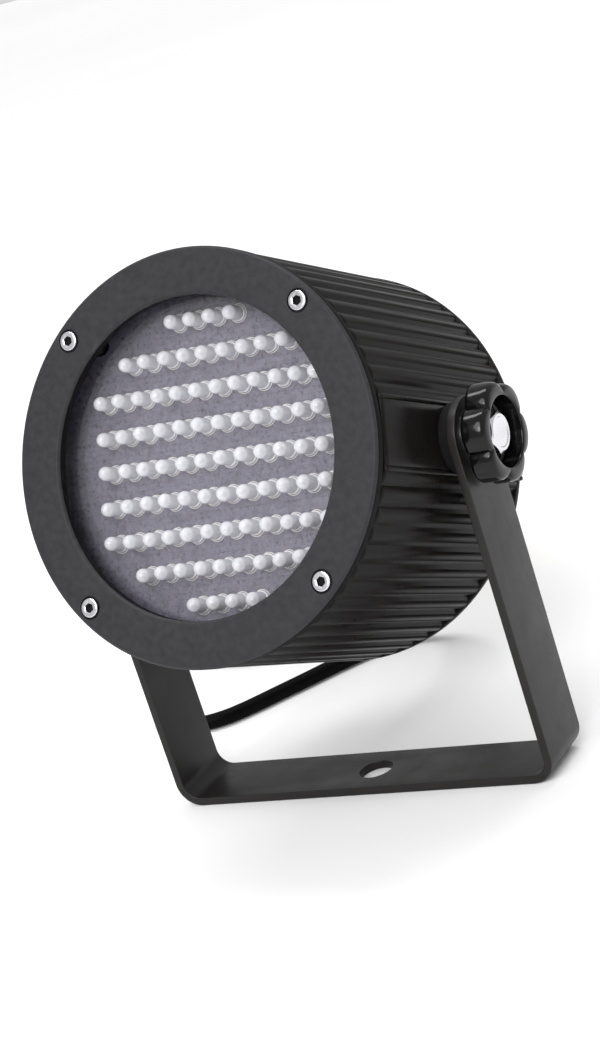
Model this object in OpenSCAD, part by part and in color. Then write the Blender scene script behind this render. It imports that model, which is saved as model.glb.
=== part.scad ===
// LED par can light on a flat-strap yoke, with its mains lead.
// Millimetres, +Z up. The origin is the centre of the yoke's bolt hole, on the
// underside of the crossbar. +X runs along the tilt axis and light leaves towards -Y.
// The can is drawn in its own frame: +z to the front, +y up, z = 0 on the tilt axis.

/* [Front ring] */
// Outer diameter of the front ring
ring_d = 140; // [140:0.5:143]
// Thickness of the front ring
ring_t = 4.5; // [4:0.1:5]
// Diameter of the light opening
opening_d = 108; // [100:1:110]
// Pitch circle of the four ring screws
ring_pcd = 128.6; // [128:0.1:129]
// Diameter of a ring screw's head
ring_head_d = 6.6; // [6:0.1:7]

/* [Can] */
// Length from the ring's front face to the rear edge
can_len = 104; // [102:1:110]
// Diameter over the crests of the ribs
can_d = 139.4; // [139:0.1:139.6]
// Number of ribs around the can
rib_count = 64; // [48:4:72]
// Depth of the grooves between ribs
rib_depth = 1.3; // [0.8:0.1:1.5]
// Bore of the can
can_bore_d = 131; // [130:0.5:131.5]
// Width of the smooth band on each side
band_w = 25; // [24:1:28]
// Distance from the front face back to the tilt axis
pivot_back = 54.5; // [52:0.5:56]

/* [Yoke] */
// Width over the outside of the arms
yoke_w = 154; // [154:0.5:156]
// Width of the strap
strap_w = 28; // [24:1:30]
// Thickness of the strap
strap_t = 3; // [3:0.1:3.2]
// Outer radius of the strap's bends
bend_r = 9; // [7:0.5:12]
// Height of the tilt axis above the underside of the crossbar
pivot_h = 123.5; // [122:0.5:130]
// Diameter of the yoke's bolt hole
bolt_hole_d = 12.5; // [10:0.5:13]
// Angle by which the light points upwards
nose_up = 25; // [20:1:30]

/* [Knobs] */
// Diameter over the lobes of a clamp knob
knob_d = 36; // [32:1:40]
// Height of a knob
knob_h = 11; // [10:0.5:13]
// Number of lobes on a knob
knob_lobes = 6; // [5:1:8]
// Diameter of the clamp bolt
clamp_d = 8; // [7.9:0.1:8]

/* [LEDs] */
// Diameter of an LED's lens
led_d = 5; // [4.5:0.1:5.2]
// Spacing of the LEDs in a row
led_pitch = 7.8; // [7:0.1:8]
// Spacing of the rows
row_pitch = 12; // [11:0.1:12]

/* [Mains lead] */
// Diameter of the lead
lead_d = 6; // [6:0.1:6.2]
// Centre radius of the coil's turns
coil_r = 33; // [30:0.5:36]

/* [Hidden] */

$fn = 64;
cut = 1; // how far a cutter runs past a face

// Stations along the can, z to the front from the tilt axis
front_z = pivot_back;
ring_back_z = front_z - ring_t;
gasket_t = 1.6;
body_front_z = ring_back_z - gasket_t;
rear_z = front_z - can_len;
plate_t = 2;
plate_d = 133.8;
plate_in_z = rear_z + plate_t;

// Front glazing and ring
gasket_d = 134;
gasket_bore_d = 111;
lens_d = 123;
lens_t = 2.2;
lens_seat_d = 124;
ring_bevel = 0.8;
ring_screw_angles = [45, 135, 225, 315];
ring_shank_d = 3.5;
ring_head_h = 2.2;
ring_sink_d = 8;
ring_sink_depth = 1.6;
socket_af = 3;

// Can
band_x = can_d / 2 + 0.2;
rim_h = 2.6; // smooth rim round the rear edge
boss_in_x = 58;
channel_d = 7;
rib_steps = 8;
insert_d = 12;
insert_len = 10;
running_gap = 0.05;

// Yoke and clamp parts
arm_in_x = yoke_w / 2 - strap_t;
arm_out_x = yoke_w / 2;
arm_hole_d = clamp_d + 0.2;
flat_gap = 0.2;
arm_washer_t = 1.2;
knob_in_x = arm_out_x + arm_washer_t + flat_gap;
knob_hub_h = 2.2;
knob_hub_d = 22;
knob_recess_d = 24;
knob_recess_depth = 7.5;
hex_af = 13;
hex_h = 5.3;
knob_out_x = knob_in_x + knob_h;
hex_seat_x = knob_out_x - knob_recess_depth;
bolt_end_x = 61;

// Boards
board_t = 1.6;
led_h = 8.6;
led_flange_d = 5.8;
led_rows = [4, 9, 12, 12, 12, 12, 12, 9, 4];
led_face_z = 36.4;
led_board_d = 129;
led_room_z = led_face_z - board_t - 1;
post_x = 50;
post_y = 19;
post_af = 5.5;
m3 = 3;
m3_head_d = 5.5;
m3_head_h = 2;
driver_z = -8;
driver_d = 113;
driver_w = 108;
driver_h = 84;

// Rear panel layout
window_y = 34;
window_w = 32;
window_h = 14;
button_y = 17;
button_pitch = 14;
button_d = 6.4;
button_hole_d = 6.9;
switch_top_z = plate_in_z + 1.6;
display_face_z = switch_top_z + 3;
display_w = 60;
display_h = 44;
display_y = 26;
spacer_x = 26.5;
spacer_y = 18.5;
socket_x = 30;
socket_y = -17;
socket_hole_d = 24;
socket_shell_d = 23.6;
socket_bore_d = 19.4;
socket_depth = 15;
socket_pin_r = 5.6;
socket_pin_angles = [40, 140, 270];
flange_w = 26;
flange_h = 31;
flange_t = 2;
latch_y = 10.2;
socket_screw_x = 9.5;
socket_screw_y = 12;
fuse_y = -13;
fuse_hole_d = 12.4;
fuse_body_d = 12.2;
mic_x = 42;
mic_y = 8;
gland_y = -42;
gland_thread_d = 15;
gland_hole_d = 15.2;
gland_af = 19;
gland_out_z = rear_z - 4.5;
nut_out_z = gland_out_z - 10;
relief_out_z = rear_z - 36.5;

// Point of the can's frame in the part's frame
function placed(p) = [
    p[0],
    p[1] * sin(nose_up) - p[2] * cos(nose_up),
    pivot_h + p[1] * cos(nose_up) + p[2] * sin(nose_up)];

// Route of the mains lead, from the strain relief to the coil. The coil's turns lie
// around a ring of five, which fills a round section
coil_x = -115;
coil_y = 150;
coil_section_d = lead_d / sin(36) + lead_d;
tie_t = 0.5;
tie_d = coil_section_d + 0.6;
coil_mid_z = tie_d / 2 + tie_t;
end_gap = 0.25; // between the ends of two bent tubes that follow each other
lead_exit = placed([0, gland_y, relief_out_z - end_gap]);
lead_straight = placed([0, gland_y, relief_out_z - 16]);
lead_route = [
    lead_exit, lead_straight, [-2, 88, 35], [-6, 100, 28], [-12.5, 110.5, 20.5],
    [-21.5, 117.5, 13.5], [-32.5, 119.5, 8], [-43.5, 115.5, 4.6], [-54, 106.3, 3],
    [-63.5, 94.7, 3], [-71.8, 83, 3], [-79.8, 72, 3], [-87.4, 61.8, 3], [-94, 55, 3],
    [-102, 50.9, 3], [-110.5, 49.8, 3], [-118.9, 51.8, 3], [-125.9, 56.8, 3],
    [-130.9, 64, 3], [-136, 73.8, 3], [-141.2, 86.6, 3], [-146, 101, 3],
    [-149.6, 117, 3.1], [-150.7, 126, 3.4]];
plug_x = -88;
plug_y = 190;
plug_z = 11;
tail_route = [
    [-95.5, 189.5, 10.3], [-92, 189.8, 10.7], [plug_x - end_gap, plug_y, plug_z]];
plug_tail = 18;
plug_body = 32;
lead_sides = 10;

// Geometry helpers

// Puts children drawn in the can's frame in their place
module in_can() {
    translate([0, 0, pivot_h]) rotate([90 - nose_up, 0, 0]) children();
}

// Repeats children on both sides of the middle plane
module both_sides() {
    children();
    mirror([1, 0, 0]) children();
}

// Cylinder between two heights
module rod(d, z0, z1) {
    translate([0, 0, z0]) cylinder(d = d, h = z1 - z0);
}

// Hexagonal bar between two heights, given its width over the flats
module hex_bar(af, z0, z1) {
    translate([0, 0, z0]) cylinder(d = af / cos(30), h = z1 - z0, $fn = 6);
}

// Ring between two heights
module tube(d, bore, z0, z1) {
    difference() {
        rod(d, z0, z1);
        rod(bore, z0 - cut, z1 + cut);
    }
}

// Box centred on a point of a plane, between two heights
module slab(w, h, z0, z1) {
    translate([-w / 2, -h / 2, z0]) cube([w, h, z1 - z0]);
}

module at_ring_screws() {
    for (a = ring_screw_angles) {
        rotate([0, 0, a]) translate([ring_pcd / 2, 0, 0]) children();
    }
}

module at_posts() {
    for (x = [-post_x, post_x], y = [-post_y, post_y]) {
        translate([x, y, 0]) children();
    }
}

module at_spacers() {
    for (x = [-spacer_x, spacer_x], y = [-spacer_y, spacer_y]) {
        translate([x, display_y + y, 0]) children();
    }
}

module at_socket_screws() {
    for (s = [-1, 1], k = [-1, 1]) {
        translate([s * socket_x + k * socket_screw_x, socket_y + k * socket_screw_y, 0]) children();
    }
}

module at_dmx_in() {
    translate([-socket_x, socket_y, 0]) children();
}

module at_dmx_out() {
    translate([socket_x, socket_y, 0]) children();
}

// Turns +z to +x, for parts on the tilt axis
module along_x() {
    rotate([0, 90, 0]) children();
}

// Tube swept along a route by a frame that keeps one side up
function unit(v) = v / norm(v);
function heading(p, i) = unit(p[min(i + 1, len(p) - 1)] - p[max(i - 1, 0)]);
function sideways(t) = unit(cross(t, [0, 0, 1]));
function sweep_ring(p, i, r, n) =
    let (t = heading(p, i), s = sideways(t), u = cross(s, t))
    [for (k = [0 : n - 1]) p[i] + r * (cos(360 * k / n) * s + sin(360 * k / n) * u)];

// Point at parameter t of a smooth curve through four points
function curve_point(a, b, c, d, t) =
    0.5 * (2 * b + (c - a) * t + (2 * a - 5 * b + 4 * c - d) * t * t
    + (3 * b - a - 3 * c + d) * t * t * t);
function smooth(p, steps) = [
    for (i = [0 : len(p) - 2], k = [0 : steps - 1])
        curve_point(p[max(i - 1, 0)], p[i], p[i + 1], p[min(i + 2, len(p) - 1)], k / steps),
    p[len(p) - 1]];

module sweep(p, d, n) {
    rings = [for (i = [0 : len(p) - 1]) each sweep_ring(p, i, d / 2, n)];
    last = (len(p) - 1) * n;
    sides = [
        for (i = [0 : len(p) - 2], k = [0 : n - 1])
            [i * n + k, i * n + (k + 1) % n, (i + 1) * n + (k + 1) % n, (i + 1) * n + k]];
    caps = [[for (k = [n - 1 : -1 : 0]) k], [for (k = [0 : n - 1]) last + k]];
    polyhedron(points = rings, faces = concat(sides, caps));
}

// Yoke

module strap_outline() {
    top = pivot_h + strap_w / 2;
    in_r = bend_r - strap_t;
    difference() {
        union() {
            translate([-arm_out_x, bend_r]) square([yoke_w, top - bend_r]);
            translate([bend_r - arm_out_x, 0]) square([yoke_w - 2 * bend_r, top]);
            for (s = [-1, 1]) translate([s * (arm_out_x - bend_r), bend_r]) circle(r = bend_r);
        }
        translate([-arm_in_x, strap_t + in_r]) square([2 * arm_in_x, top]);
        translate([in_r - arm_in_x, strap_t]) square([2 * (arm_in_x - in_r), top]);
        for (s = [-1, 1]) translate([s * (arm_in_x - in_r), strap_t + in_r]) circle(r = in_r);
    }
}

module yoke_bracket() {
    color("#4a4a4c") difference() {
        intersection() {
            translate([0, strap_w / 2, 0]) rotate([90, 0, 0]) linear_extrude(strap_w) strap_outline();
            union() {
                translate([-arm_out_x - cut, -strap_w / 2, -cut])
                    cube([yoke_w + 2 * cut, strap_w, pivot_h + cut]);
                translate([0, 0, pivot_h]) along_x() rod(strap_w, -arm_out_x - cut, arm_out_x + cut);
            }
        }
        translate([0, 0, pivot_h]) along_x() rod(arm_hole_d, -arm_out_x - cut, arm_out_x + cut);
        rod(bolt_hole_d, -cut, strap_t + cut);
    }
}

module arm_washers() {
    color("#b8b8b8") translate([0, 0, pivot_h]) both_sides() along_x()
        tube(18, clamp_d + 0.4, arm_out_x, arm_out_x + arm_washer_t);
}

// Can shell

// The ribs are round-backed, with a narrow groove between two
function rib_radius(a) = can_d / 2 - rib_depth * (1 - abs(cos(rib_count * a / 2)));

module can_outline() {
    points = rib_count * rib_steps;
    polygon([for (i = [0 : points - 1]) let (a = 360 * i / points)
        [rib_radius(a) * cos(a), rib_radius(a) * sin(a)]]);
    square([2 * band_x, band_w], center = true);
}

module can_section() {
    difference() {
        can_outline();
        difference() {
            circle(d = can_bore_d);
            for (a = ring_screw_angles) rotate(a) translate([ring_pcd / 2, 0]) circle(d = channel_d);
            for (s = [-1, 1]) translate([s * (boss_in_x + 10), 0]) square([20, band_w], center = true);
        }
    }
}

module can_body() {
    color("#2c2b2d") in_can() difference() {
        union() {
            translate([0, 0, rear_z]) linear_extrude(body_front_z - rear_z) can_section();
            tube(can_d + 0.2, can_bore_d, rear_z, rear_z + rim_h);
        }
        difference() {
            rod(can_bore_d, led_room_z, body_front_z + cut);
            at_ring_screws() rod(channel_d, led_room_z - cut, body_front_z + 2 * cut);
        }
        rod(lens_seat_d, body_front_z - lens_t, body_front_z + cut);
        rod(plate_d + 0.2, rear_z - cut, plate_in_z);
        at_ring_screws() rod(ring_shank_d, rear_z - cut, body_front_z + cut);
        both_sides() along_x() rod(insert_d, band_x - insert_len, band_x + cut);
        both_sides() along_x() rod(clamp_d + 1, boss_in_x - cut, band_x);
    }
}

module front_ring() {
    color("#444448") in_can() difference() {
        rotate_extrude($fn = 180) polygon([
            [opening_d / 2 + ring_bevel, front_z], [ring_d / 2 - ring_bevel, front_z],
            [ring_d / 2, front_z - ring_bevel], [ring_d / 2, ring_back_z],
            [opening_d / 2, ring_back_z], [opening_d / 2, front_z - ring_bevel]]);
        at_ring_screws() {
            rod(ring_shank_d, ring_back_z - cut, front_z + cut);
            rod(ring_sink_d, front_z - ring_sink_depth, front_z + cut);
        }
    }
}

module front_screws() {
    seat = front_z - ring_sink_depth;
    color("#d8d8d8") in_can() at_ring_screws() difference() {
        union() {
            rod(ring_head_d, seat, seat + ring_head_h);
            rod(ring_shank_d, seat - 12, seat);
        }
        hex_bar(socket_af, seat + 0.8, seat + ring_head_h + cut);
    }
}

module front_gasket() {
    color("#0c0c0c") in_can() difference() {
        tube(gasket_d, gasket_bore_d, body_front_z, ring_back_z);
        at_ring_screws() rod(ring_shank_d, body_front_z - cut, ring_back_z + cut);
    }
}

module lens() {
    color("#dfe6ee", 0.35) in_can() rod(lens_d, body_front_z - lens_t, body_front_z);
}

// LEDs: rows across the board, numbered along the rows from the top one down

function row_start(r) = r == 0 ? 0 : row_start(r - 1) + led_rows[r - 1];
function led_colour(n) =
    let (k = n % 10)
    k == 9 ? 1 + floor(n / 10) % 2 : k % 3;

module led() {
    rod(led_flange_d, 0, 1);
    rod(led_d, 0, led_h - led_d / 2);
    translate([0, 0, led_h - led_d / 2]) sphere(d = led_d);
}

module leds(colour) {
    in_can() for (r = [0 : len(led_rows) - 1], i = [0 : led_rows[r] - 1]) {
        if (led_colour(row_start(r) + i) == colour) {
            translate([
                (i - (led_rows[r] - 1) / 2) * led_pitch,
                ((len(led_rows) - 1) / 2 - r) * row_pitch,
                led_face_z]) led();
        }
    }
}

module leds_red() {
    color("#f0e8ea") leds(0);
}

module leds_green() {
    color("#e8f0ea") leds(1);
}

module leds_blue() {
    color("#e8eaf2") leds(2);
}

module led_board() {
    color("#8a8698") in_can() difference() {
        rod(led_board_d, led_face_z - board_t, led_face_z);
        at_ring_screws() rod(channel_d + 1, led_face_z - board_t - cut, led_face_z + cut);
    }
}

module led_resistors() {
    color("#3c6ea0") in_can() for (x = [-3 : 3], s = [-1, 1]) {
        translate([x * 11 - 3, s * 30, led_face_z - board_t - 1.2]) along_x() rod(2.4, 0, 6);
    }
}

// Boards, posts and the parts on them

module board_standoffs() {
    color("#c8a850") in_can() at_posts() {
        hex_bar(post_af, driver_z, led_face_z - board_t);
        rod(m3, driver_z - board_t - 5, driver_z);
        difference() {
            hex_bar(post_af, plate_in_z, driver_z - board_t);
            rod(m3, driver_z - board_t - 5, driver_z);
            rod(m3, plate_in_z - cut, plate_in_z + 8);
        }
    }
}

module m3_pan_screw() {
    difference() {
        rod(m3_head_d, 0, m3_head_h);
        hex_bar(2, 0.8, m3_head_h + cut);
    }
    rod(m3, -6, 0);
}

module board_screws() {
    color("#a8a8a8") in_can() {
        at_posts() translate([0, 0, rear_z]) mirror([0, 0, 1]) m3_pan_screw();
        at_spacers() translate([0, 0, rear_z]) mirror([0, 0, 1]) m3_pan_screw();
    }
}

module driver_board() {
    color("#2f6b3c") in_can() difference() {
        intersection() {
            rod(driver_d, driver_z - board_t, driver_z);
            slab(driver_w, driver_h, driver_z - board_t, driver_z);
        }
        at_posts() rod(m3, driver_z - board_t - cut, driver_z + cut);
    }
}

module driver_transformer() {
    color("#d8b838") in_can() translate([-24, 14, driver_z]) {
        slab(22, 20, 0, 5);
        slab(14, 12, 5, 17);
        slab(22, 20, 17, 20);
    }
}

module driver_capacitors() {
    color("#25304a") in_can() {
        translate([4, 24, 0]) rod(18, driver_z, driver_z + 22);
        for (x = [-6, 6, 18]) translate([x, -12, 0]) rod(8, driver_z, driver_z + 12);
    }
}

module driver_choke() {
    color("#9a5a28") in_can() translate([-30, -20, driver_z + 4])
        rotate_extrude() translate([7, 0]) circle(d = 8);
}

module driver_heatsink() {
    color("#b4b8bc") in_can() translate([36, 6, driver_z]) {
        slab(3, 44, 0, 24);
        for (y = [-20 : 5 : 20]) translate([5, y, 0]) slab(7, 1.6, 0, 24);
    }
}

module driver_transistors() {
    color("#1a1a1a") in_can() for (y = [-12, 0, 12]) {
        translate([32.25, 6 + y, driver_z]) slab(4.5, 10, 3, 18);
    }
}

module board_connectors() {
    color("#e8e4d8") in_can() {
        translate([0, -36, 0]) slab(26, 5, driver_z, driver_z + 6);
        translate([0, -36, 0]) slab(26, 5, led_face_z - board_t - 6, led_face_z - board_t);
        translate([0, -30, 0]) slab(16, 8, driver_z - board_t - 9, driver_z - board_t);
    }
}

module led_ribbon() {
    color("#9c9ca0") in_can() translate([0, -36, 0])
        slab(22, 1, driver_z + 6, led_face_z - board_t - 6);
}

// Rear panel

module rear_plate() {
    color("#3a3a3c") in_can() difference() {
        rod(plate_d, rear_z, plate_in_z);
        at_ring_screws() rod(ring_shank_d, rear_z - cut, plate_in_z + cut);
        at_posts() rod(m3, rear_z - cut, plate_in_z + cut);
        at_spacers() rod(m3, rear_z - cut, plate_in_z + cut);
        translate([0, window_y, 0]) slab(window_w, window_h, rear_z - cut, plate_in_z + cut);
        for (i = [-1.5 : 1.5])
            translate([i * button_pitch, button_y, 0]) rod(button_hole_d, rear_z - cut, plate_in_z + cut);
        at_dmx_in() rod(socket_hole_d, rear_z - cut, plate_in_z + cut);
        at_dmx_out() rod(socket_hole_d, rear_z - cut, plate_in_z + cut);
        at_socket_screws() rod(m3, rear_z - cut, plate_in_z + cut);
        translate([0, fuse_y, 0]) rod(fuse_hole_d, rear_z - cut, plate_in_z + cut);
        translate([mic_x, mic_y, 0]) rod(2, rear_z - cut, plate_in_z + cut);
        translate([0, gland_y, 0]) rod(gland_hole_d, rear_z - cut, plate_in_z + cut);
    }
}

module rear_screws() {
    color("#d8d8d8") in_can() at_ring_screws() difference() {
        union() {
            rod(ring_head_d, rear_z - ring_head_h, rear_z);
            rod(ring_shank_d, rear_z, rear_z + 12);
        }
        hex_bar(socket_af, rear_z - ring_head_h - cut, rear_z - 0.8);
    }
}

module display_board() {
    color("#2f6b3c") in_can() difference() {
        translate([0, display_y, 0])
            slab(display_w, display_h, display_face_z, display_face_z + board_t);
        at_spacers() rod(m3, display_face_z - cut, display_face_z + board_t + cut);
    }
}

module display_spacers() {
    color("#e8e4d8") in_can() at_spacers() tube(5.5, m3, plate_in_z, display_face_z);
}

module display_module() {
    color("#141414") in_can() translate([0, window_y, 0])
        slab(window_w - 1, window_h - 1, plate_in_z - 0.6, display_face_z);
}

module display_window() {
    color("#5a1414", 0.5) in_can() translate([0, window_y, 0])
        slab(window_w, window_h, rear_z, plate_in_z - 0.6);
}

module button_switches() {
    color("#b0b0b4") in_can() for (i = [-1.5 : 1.5])
        translate([i * button_pitch, button_y, 0]) slab(6, 6, switch_top_z, display_face_z);
}

// Button i of four, from the left as seen from the front
module menu_button(i) {
    color("#d0d0d0") in_can() translate([(i - 1.5) * button_pitch, button_y, 0]) {
        rod(button_d, rear_z - 2, plate_in_z + 0.3);
        rod(button_d + 2, plate_in_z + 0.3, plate_in_z + 0.9);
    }
}

// Three-pole sockets. The input has pins, the output has a sprung latch

module socket_housing(screw_side) {
    difference() {
        union() {
            slab(flange_w, flange_h, rear_z - flange_t, rear_z);
            rod(socket_shell_d, rear_z, rear_z + socket_depth + 5);
        }
        rod(socket_bore_d, rear_z - flange_t - cut, rear_z - flange_t + socket_depth);
        for (k = [-1, 1]) translate([k * socket_screw_x, k * socket_screw_y, 0])
            rod(m3, rear_z - flange_t - cut, rear_z + cut);
    }
}

module at_socket_pins() {
    for (a = socket_pin_angles) rotate([0, 0, a]) translate([socket_pin_r, 0, 0]) children();
}

module dmx_in_housing() {
    color("#1c1c1e") in_can() at_dmx_in() difference() {
        socket_housing();
        at_socket_pins() rod(2.4, rear_z, rear_z + socket_depth + 5 + cut);
    }
}

module dmx_in_pins() {
    floor_z = rear_z - flange_t + socket_depth;
    color("#d8c070") in_can() at_dmx_in() at_socket_pins() rod(2.4, floor_z - 12, floor_z + 10);
}

// The output's shell keeps a notch at the top for the latch
module dmx_out_housing() {
    color("#1c1c1e") in_can() at_dmx_out() difference() {
        socket_housing();
        translate([0, latch_y + 1.1, 0]) slab(6.4, 5.6, rear_z - flange_t - cut, rear_z - flange_t + 9.5);
    }
}

module dmx_out_insert() {
    floor_z = rear_z - flange_t + socket_depth;
    color("#0e0e10") in_can() at_dmx_out() difference() {
        rod(15.6, rear_z - flange_t + 0.6, floor_z);
        at_socket_pins() rod(2.8, rear_z - flange_t - cut, floor_z - 2);
    }
}

module dmx_out_latch() {
    color("#c8c8c8") in_can() at_dmx_out() {
        translate([0, latch_y, 0]) slab(5.8, 2.6, rear_z - flange_t - 1.5, rear_z - flange_t + 6);
        translate([0, latch_y + 1.1, 0]) slab(5.8, 4.8, rear_z - flange_t - 1.5, rear_z - 1.4);
    }
}

module socket_screws() {
    color("#303032") in_can() at_socket_screws() translate([0, 0, rear_z - flange_t])
        mirror([0, 0, 1]) m3_pan_screw();
}

// Panel fuse holder with a cap that turns a quarter

module fuse_holder() {
    color("#161616") in_can() translate([0, fuse_y, 0]) difference() {
        union() {
            rod(15, rear_z - 2, rear_z);
            rod(fuse_body_d, rear_z, rear_z + 30);
            hex_bar(15, plate_in_z, plate_in_z + 3);
        }
        rod(9.4, rear_z - 2 - cut, rear_z + 28);
    }
}

module fuse_cap() {
    color("#202022") in_can() translate([0, fuse_y, 0]) difference() {
        union() {
            rod(12.4, rear_z - 6, rear_z - 2 - flat_gap);
            rod(9, rear_z - 2 - flat_gap, rear_z + 6);
        }
        slab(8, 1.4, rear_z - 6 - cut, rear_z - 5);
        rod(5.2, rear_z, rear_z + 6 + cut);
    }
}

module fuse() {
    color("#e0e0d8") in_can() translate([0, fuse_y, 0]) rod(5.2, rear_z, rear_z + 20);
}

module microphone() {
    color("#9a9a9e") in_can() translate([mic_x, mic_y, 0]) rod(9.7, plate_in_z, plate_in_z + 5);
}

// Cable gland and lead inside the can

module at_gland() {
    in_can() translate([0, gland_y, 0]) children();
}

module gland_body() {
    color("#1a1a1a") at_gland() difference() {
        union() {
            hex_bar(gland_af, gland_out_z, rear_z);
            rod(gland_thread_d, rear_z, rear_z + 9);
            rod(14, gland_out_z - 5, gland_out_z);
        }
        rod(lead_d + 0.1, gland_out_z - 6, rear_z + 10);
    }
}

module gland_locknut() {
    color("#1a1a1a") at_gland() difference() {
        hex_bar(gland_af, plate_in_z, plate_in_z + 4);
        rod(gland_hole_d, plate_in_z - cut, plate_in_z + 5);
    }
}

module gland_nut() {
    color("#1a1a1a") at_gland() difference() {
        union() {
            hex_bar(gland_af, nut_out_z + 4, gland_out_z);
            rod(16, nut_out_z, nut_out_z + 4);
        }
        rod(14, gland_out_z - 5, gland_out_z + cut);
        rod(11, nut_out_z - cut, gland_out_z);
    }
}

module strain_relief() {
    color("#101010") at_gland() difference() {
        union() {
            rod(11, nut_out_z, gland_out_z - 5);
            translate([0, 0, relief_out_z]) cylinder(d1 = 7.4, d2 = 11, h = nut_out_z - relief_out_z);
        }
        rod(lead_d + 0.1, relief_out_z - cut, gland_out_z);
    }
}

module inner_lead() {
    color("#141414") at_gland() rod(lead_d, relief_out_z, rear_z + 14);
}

module mains_wires() {
    color("#7a4a28") in_can() for (i = [-1 : 1]) {
        from = [2.1 * i, gland_y, rear_z + 14 + end_gap];
        to = [4 * i, -30, driver_z - board_t - 9 - end_gap];
        sweep(smooth([from, from + [0, 1, 5], [3 * i, -38, -26], to - [0, 0, 4], to], 3), 1.8, 8);
    }
}

// Clamp knobs, their bolts and the parts on the tilt axis

module pivot_inserts() {
    color("#c8a850") in_can() both_sides() along_x()
        tube(insert_d, clamp_d + 2 * running_gap, band_x - insert_len, band_x);
}

module friction_washers() {
    color("#101010") in_can() both_sides() along_x()
        tube(24, clamp_d + 0.4, band_x, arm_in_x - flat_gap);
}

function lobe_radius(a) =
    let (deep = knob_d / 2 - 3.2)
    deep + (knob_d / 2 - deep) * pow(abs(cos(knob_lobes * a / 2)), 0.7);

module knob() {
    color("#0e0e10") in_can() along_x() difference() {
        union() {
            rod(knob_hub_d, knob_in_x, knob_in_x + knob_hub_h);
            translate([0, 0, knob_in_x + knob_hub_h]) linear_extrude(knob_h - knob_hub_h)
                polygon([for (a = [0 : 5 : 355]) lobe_radius(a) * [cos(a), sin(a)]]);
        }
        rod(knob_recess_d, hex_seat_x, knob_out_x + cut);
        rod(clamp_d, knob_in_x - cut, knob_out_x);
    }
}

module clamp_bolt() {
    color("#dcdcdc") in_can() along_x() {
        rod(clamp_d, bolt_end_x, hex_seat_x);
        hex_bar(hex_af, hex_seat_x, hex_seat_x + hex_h);
    }
}

module right_knob() {
    knob();
}

module right_bolt() {
    clamp_bolt();
}

module left_knob() {
    mirror([1, 0, 0]) knob();
}

module left_bolt() {
    mirror([1, 0, 0]) clamp_bolt();
}

// Mains lead: the free tube, the wound coil, its tie and the plug

module power_cord() {
    color("#121212") {
        sweep(smooth(lead_route, 3), lead_d, lead_sides);
        sweep(smooth(tail_route, 2), lead_d, lead_sides);
    }
}

module cord_coil() {
    color("#121212") translate([coil_x, coil_y, coil_mid_z]) rotate_extrude()
        translate([coil_r, 0]) circle(d = coil_section_d);
}

module cord_tie() {
    color("#303030") translate([coil_x, coil_y, coil_mid_z]) rotate([0, 0, -40])
        translate([coil_r, 0, 0]) rotate([90, 0, 0]) tube(tie_d + 2 * tie_t, tie_d, -4, 4);
}

module mains_plug() {
    color("#161616") translate([plug_x, plug_y, plug_z]) along_x() {
        cylinder(d1 = 7.4, d2 = 14, h = plug_tail);
        translate([0, 0, plug_tail]) intersection() {
            slab(22, 24, 0, plug_body);
            rod(28, 0, plug_body);
        }
    }
}

module plug_pins() {
    from = plug_x + plug_tail + plug_body;
    color("#d0b870") {
        for (s = [-1, 1]) translate([from, plug_y + s * 6.35 - 0.75, plug_z - 1]) cube([17, 1.5, 6.3]);
        translate([from, plug_y, plug_z - 6.5]) along_x() cylinder(d = 4.8, h = 20);
    }
}

yoke_bracket();
arm_washers();
can_body();
front_ring();
front_screws();
front_gasket();
lens();
led_board();
leds_red();
leds_green();
leds_blue();
led_resistors();
board_standoffs();
board_screws();
driver_board();
driver_transformer();
driver_capacitors();
driver_choke();
driver_heatsink();
driver_transistors();
board_connectors();
led_ribbon();
display_board();
display_module();
display_window();
button_switches();
display_spacers();
rear_plate();
rear_screws();
dmx_in_housing();
dmx_in_pins();
dmx_out_housing();
dmx_out_insert();
socket_screws();
fuse_holder();
microphone();
gland_body();
gland_locknut();
gland_nut();
strain_relief();
inner_lead();
mains_wires();
pivot_inserts();
friction_washers();
menu_button(0);  // menu_button_1
menu_button(1);  // menu_button_2
menu_button(2);  // menu_button_3
menu_button(3);  // menu_button_4
dmx_out_latch();
fuse_cap();
fuse();
left_knob();
left_bolt();
right_knob();
right_bolt();
power_cord();
cord_coil();
cord_tie();
mains_plug();
plug_pins();
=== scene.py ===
import math

import bmesh
import bpy
from mathutils import Matrix, Vector


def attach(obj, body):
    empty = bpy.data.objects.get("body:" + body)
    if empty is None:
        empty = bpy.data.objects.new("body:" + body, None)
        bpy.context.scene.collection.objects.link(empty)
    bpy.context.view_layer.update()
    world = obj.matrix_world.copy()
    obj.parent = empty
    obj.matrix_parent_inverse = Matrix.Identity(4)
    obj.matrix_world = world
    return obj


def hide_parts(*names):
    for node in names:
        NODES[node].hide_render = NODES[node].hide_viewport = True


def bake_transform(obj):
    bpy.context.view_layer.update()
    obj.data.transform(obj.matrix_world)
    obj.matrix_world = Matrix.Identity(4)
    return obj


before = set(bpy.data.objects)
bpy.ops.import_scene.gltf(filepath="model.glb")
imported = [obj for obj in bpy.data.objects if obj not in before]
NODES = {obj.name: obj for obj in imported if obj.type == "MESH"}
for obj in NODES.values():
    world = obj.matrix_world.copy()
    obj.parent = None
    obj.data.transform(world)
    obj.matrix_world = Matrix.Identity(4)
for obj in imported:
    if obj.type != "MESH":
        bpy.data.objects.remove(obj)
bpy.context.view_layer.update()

MM = 0.001
TAU = math.tau

# ---------------------------------------------------------------- places

PIVOT_H, NOSE_UP = 123.5, 25.0
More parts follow.
